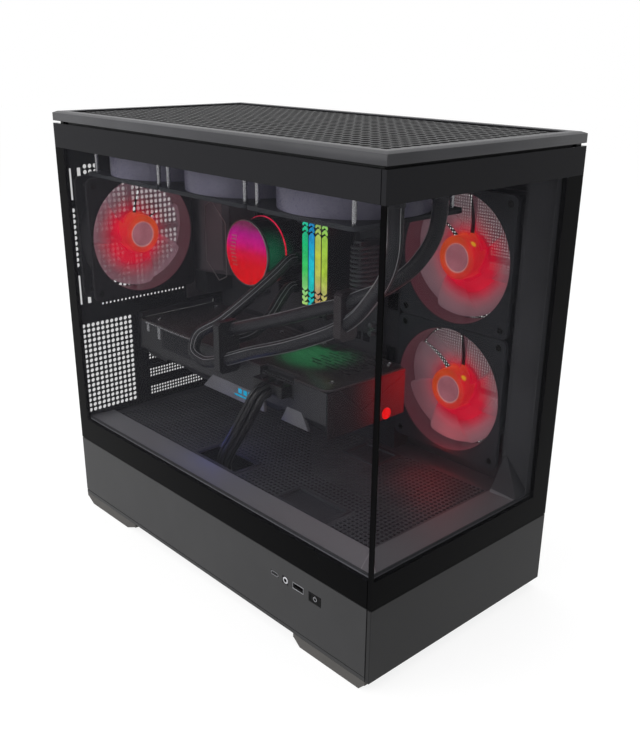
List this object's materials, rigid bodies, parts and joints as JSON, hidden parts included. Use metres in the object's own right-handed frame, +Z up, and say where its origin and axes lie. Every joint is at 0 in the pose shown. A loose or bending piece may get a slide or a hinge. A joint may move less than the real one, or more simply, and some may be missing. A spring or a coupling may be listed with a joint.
{
  "type": "desktop computer tower",
  "caption": "Compact desktop computer tower with wrap-round tinted glass, lit fans, liquid cooler, graphics card and perforated lid",
  "frame": {"origin": "on the floor under the centre of the case outline", "axes": "+Z up, -Y the front glass, +Y the rear panel with the mains inlet, -X the side glass, +X the steel side panel"},
  "size_m": [0.224, 0.426, 0.407],
  "materials": {
    "chassis_steel": "fine satin black powder coat",
    "side_skirt_steel": "satin dark grey powder coat",
    "front_skirt_steel": "satin dark grey powder coat",
    "right_panel_steel": "fine satin black powder coat",
    "top_panel_steel": "satin dark grey powder coat, perforated",
    "liner_plastic": "fine grained grey plastic",
    "foot_rubber": "matte grey-brown rubber",
    "tinted_glass": "tempered glass with a dark tint and a black printed border",
    "filter_mesh": "black plastic frame with fine mesh",
    "socket_metal": "bright nickel-plated shell",
    "button_plastic": "gloss black",
    "psu_steel": "matte black powder coat",
    "inlet_plastic": "black moulded plastic",
    "rocker_plastic": "gloss black",
    "fan_frame_plastic": "black moulded plastic",
    "fan_blade_plastic": "frosted translucent plastic with a lit hub",
    "psu_fan_plastic": "black moulded plastic",
    "board_laminate": "black circuit board with black sockets",
    "heatsink_metal": "dark anodised",
    "memory_green": "lit diffuser bar over a dark heat spreader",
    "memory_cyan": "lit diffuser bar over a dark heat spreader",
    "memory_amber": "lit diffuser bar over a dark heat spreader",
    "memory_lime": "lit diffuser bar over a dark heat spreader",
    "pump_plastic": "black moulded plastic",
    "pump_cap_glass": "lit cap, red with a magenta top",
    "radiator_metal": "matte black paint",
    "tube_rubber": "black sleeved rubber hose",
    "clamp_plastic": "smoked plastic",
    "card_plastic": "dark grey plastic",
    "backplate_metal": "dark anodised",
    "bracket_steel": "black plated steel",
    "cover_steel": "black powder coat, perforated",
    "card_fan_plastic": "black moulded plastic",
    "cable_sleeve": "black sleeved cable"
  },
  "bodies": {
    "chassis": {"bottom_pan": "chassis_steel", "rear_panel": "chassis_steel", "motherboard_tray": "chassis_steel", "top_frame": "chassis_steel", "psu_shroud": "chassis_steel", "window_liner": "liner_plastic", "side_skirt": "side_skirt_steel", "front_skirt": "front_skirt_steel", "foot_front_left": "foot_rubber", "foot_front_right": "foot_rubber", "foot_rear_left": "foot_rubber", "foot_rear_right": "foot_rubber", "usb_c_socket": "socket_metal", "usb_a_socket": "socket_metal", "audio_socket": "socket_metal", "psu_case": "psu_steel", "mains_inlet": "inlet_plastic", "motherboard": "board_laminate", "io_cover": "heatsink_metal", "chipset_heatsink": "heatsink_metal", "ram_module_1": "memory_green", "ram_module_2": "memory_cyan", "ram_module_3": "memory_amber", "ram_module_4": "memory_lime", "pump_block": "pump_plastic", "pump_cap": "pump_cap_glass", "radiator": "radiator_metal", "tube_1": "tube_rubber", "tube_2": "tube_rubber", "tube_clamp_rear": "clamp_plastic", "tube_clamp_front": "clamp_plastic", "card_shroud": "card_plastic", "card_backplate": "backplate_metal", "card_bracket": "bracket_steel", "slot_covers": "cover_steel", "card_power_cable": "cable_sleeve", "board_power_cable": "cable_sleeve", "radiator_fan_1_frame": "fan_frame_plastic", "radiator_fan_2_frame": "fan_frame_plastic", "radiator_fan_3_frame": "fan_frame_plastic", "rear_fan_frame": "fan_frame_plastic", "side_fan_1_frame": "fan_frame_plastic", "side_fan_2_frame": "fan_frame_plastic"},
    "top_panel": {"top_panel": "top_panel_steel"},
    "side_glass": {"side_glass": "tinted_glass"},
    "front_glass": {"front_glass": "tinted_glass"},
    "right_panel": {"right_panel": "right_panel_steel"},
    "dust_filter": {"dust_filter": "filter_mesh"},
    "power_button": {"power_button": "button_plastic"},
    "psu_rocker": {"psu_rocker": "rocker_plastic"},
    "psu_rotor": {"psu_rotor": "psu_fan_plastic"},
    "card_rotor_1": {"card_rotor_1": "card_fan_plastic"},
    "card_rotor_2": {"card_rotor_2": "card_fan_plastic"},
    "card_rotor_3": {"card_rotor_3": "card_fan_plastic"},
    "radiator_fan_1_rotor": {"radiator_fan_1_rotor": "fan_blade_plastic"},
    "radiator_fan_2_rotor": {"radiator_fan_2_rotor": "fan_blade_plastic"},
    "radiator_fan_3_rotor": {"radiator_fan_3_rotor": "fan_blade_plastic"},
    "rear_fan_rotor": {"rear_fan_rotor": "fan_blade_plastic"},
    "side_fan_1_rotor": {"side_fan_1_rotor": "fan_blade_plastic"},
    "side_fan_2_rotor": {"side_fan_2_rotor": "fan_blade_plastic"}
  },
  "joints": [
    {"name": "top_panel_lift", "type": "slide", "parent": "chassis", "child": "top_panel", "axis": [0, 0, 1], "range_m": [0, 0.04]},
    {"name": "side_glass_pull", "type": "slide", "parent": "chassis", "child": "side_glass", "axis": [-1, 0, 0], "range_m": [0, 0.04]},
    {"name": "front_glass_pull", "type": "slide", "parent": "chassis", "child": "front_glass", "axis": [0, -1, 0], "range_m": [0, 0.04]},
    {"name": "right_panel_slide", "type": "slide", "parent": "chassis", "child": "right_panel", "axis": [0, 1, 0], "range_m": [0, 0.02]},
    {"name": "dust_filter_slide", "type": "slide", "parent": "chassis", "child": "dust_filter", "axis": [0, 1, 0], "range_m": [0, 0.14]},
    {"name": "power_button_press", "type": "slide", "parent": "chassis", "child": "power_button", "axis": [1, 0, 0], "range_m": [0, 0.001], "stiffness_N_per_m": 700},
    {"name": "psu_rocker_tilt", "type": "hinge", "parent": "chassis", "child": "psu_rocker", "pos_m": [0, 0.2033, 0.069], "axis": [1, 0, 0], "range_deg": [0, 16]},
    {"name": "radiator_fan_1_rotor_spin", "type": "hinge", "parent": "chassis", "child": "radiator_fan_1_rotor", "pos_m": [-0.0325, 0.1335, 0.36], "axis": [0, 0, 1], "continuous": true},
    {"name": "radiator_fan_2_rotor_spin", "type": "hinge", "parent": "chassis", "child": "radiator_fan_2_rotor", "pos_m": [-0.0325, 0.0135, 0.36], "axis": [0, 0, 1], "continuous": true},
    {"name": "radiator_fan_3_rotor_spin", "type": "hinge", "parent": "chassis", "child": "radiator_fan_3_rotor", "pos_m": [-0.0325, -0.1065, 0.36], "axis": [0, 0, 1], "continuous": true},
    {"name": "rear_fan_rotor_spin", "type": "hinge", "parent": "chassis", "child": "rear_fan_rotor", "pos_m": [-0.0393, 0.1957, 0.2866], "axis": [0, 1, 0], "continuous": true},
    {"name": "side_fan_1_rotor_spin", "type": "hinge", "parent": "chassis", "child": "side_fan_1_rotor", "pos_m": [0.088, -0.1212, 0.2981], "axis": [1, 0, 0], "continuous": true},
    {"name": "side_fan_2_rotor_spin", "type": "hinge", "parent": "chassis", "child": "side_fan_2_rotor", "pos_m": [0.088, -0.1212, 0.178], "axis": [1, 0, 0], "continuous": true},
    {"name": "psu_rotor_spin", "type": "hinge", "parent": "chassis", "child": "psu_rotor", "pos_m": [0.01, 0.138, 0.023], "axis": [0, 0, 1], "continuous": true},
    {"name": "card_rotor_1_spin", "type": "hinge", "parent": "chassis", "child": "card_rotor_1", "pos_m": [0.008, 0.148, 0.158], "axis": [0, 0, 1], "continuous": true},
    {"name": "card_rotor_2_spin", "type": "hinge", "parent": "chassis", "child": "card_rotor_2", "pos_m": [0.008, 0.056, 0.158], "axis": [0, 0, 1], "continuous": true},
    {"name": "card_rotor_3_spin", "type": "hinge", "parent": "chassis", "child": "card_rotor_3", "pos_m": [0.008, -0.036, 0.158], "axis": [0, 0, 1], "continuous": true}
  ]
}
